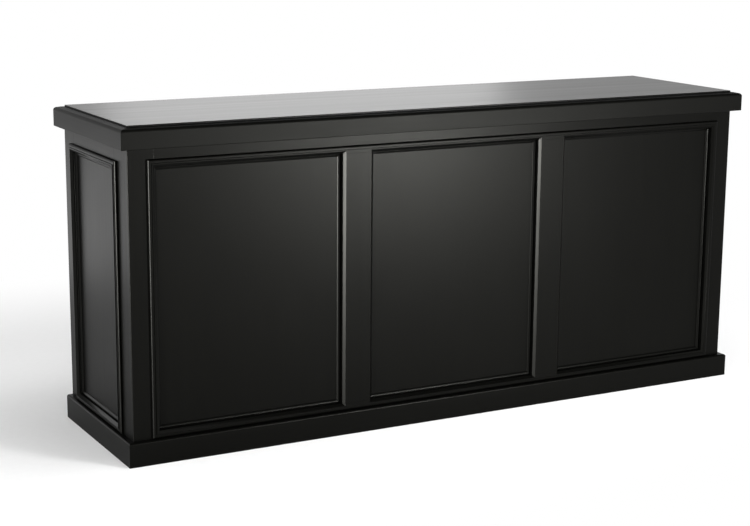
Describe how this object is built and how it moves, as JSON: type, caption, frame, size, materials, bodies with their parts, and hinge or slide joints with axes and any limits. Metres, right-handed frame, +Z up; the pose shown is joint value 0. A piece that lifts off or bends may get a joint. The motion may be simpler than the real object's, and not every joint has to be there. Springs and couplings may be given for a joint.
{
  "type": "bar counter with shelves",
  "caption": "Free-standing panelled bar counter: a flat moulded worktop, framed front and end panels, a plinth, and open shelf bays behind.",
  "frame": {"origin": "on the floor, under the middle of the worktop", "axes": "+X along the counter to the right as a customer sees it, -Y towards the customer, +Y towards the open shelves, +Z up"},
  "size_m": [2.4, 0.65, 1.08],
  "materials": {
    "outside_paint": "satin black paint on planed wood",
    "worktop_lacquer": "semi-gloss black lacquer with a faint lengthwise grain",
    "carcass_paint": "satin black paint on flat board",
    "raw_timber": "bare planed softwood, hidden",
    "zinc_steel": "bright zinc plate"
  },
  "bodies": {
    "root": {"base_bearer_left": "raw_timber", "base_bearer_right": "raw_timber", "carcass_bottom_board": "carcass_paint", "carcass_divider_left": "carcass_paint", "carcass_divider_right": "carcass_paint", "carcass_end_left": "carcass_paint", "carcass_end_right": "carcass_paint", "carcass_front_lining": "carcass_paint", "front_bottom_rail": "outside_paint", "front_field_moulding": "outside_paint", "front_mid_stile_left": "outside_paint", "front_mid_stile_right": "outside_paint", "front_panel_beads_left": "outside_paint", "front_panel_beads_middle": "outside_paint", "front_panel_beads_right": "outside_paint", "front_panel_left": "outside_paint", "front_panel_middle": "outside_paint", "front_panel_right": "outside_paint", "front_stile_left": "outside_paint", "front_stile_right": "outside_paint", "front_top_rail": "outside_paint", "left_end_bottom_rail": "outside_paint", "left_end_field_moulding": "outside_paint", "left_end_front_stile": "outside_paint", "left_end_panel": "outside_paint", "left_end_panel_beads": "outside_paint", "left_end_rear_stile": "outside_paint", "left_end_top_rail": "outside_paint", "plinth_back": "carcass_paint", "plinth_front": "outside_paint", "plinth_left": "outside_paint", "plinth_right": "outside_paint", "right_end_bottom_rail": "outside_paint", "right_end_field_moulding": "outside_paint", "right_end_front_stile": "outside_paint", "right_end_panel": "outside_paint", "right_end_panel_beads": "outside_paint", "right_end_rear_stile": "outside_paint", "right_end_top_rail": "outside_paint", "shelf_left_lower": "carcass_paint", "shelf_left_upper": "carcass_paint", "shelf_middle_lower": "carcass_paint", "shelf_middle_upper": "carcass_paint", "shelf_pins": "zinc_steel", "shelf_right_lower": "carcass_paint", "shelf_right_upper": "carcass_paint", "top_stretcher_back": "carcass_paint", "top_stretcher_front": "carcass_paint", "worktop_batten_back": "raw_timber", "worktop_batten_front": "raw_timber", "worktop_board": "worktop_lacquer", "worktop_edge_back": "outside_paint", "worktop_edge_front": "outside_paint", "worktop_edge_left": "outside_paint", "worktop_edge_right": "outside_paint", "worktop_end_battens": "raw_timber", "worktop_middle_battens": "raw_timber", "worktop_screws": "zinc_steel"}
  },
  "joints": []
}
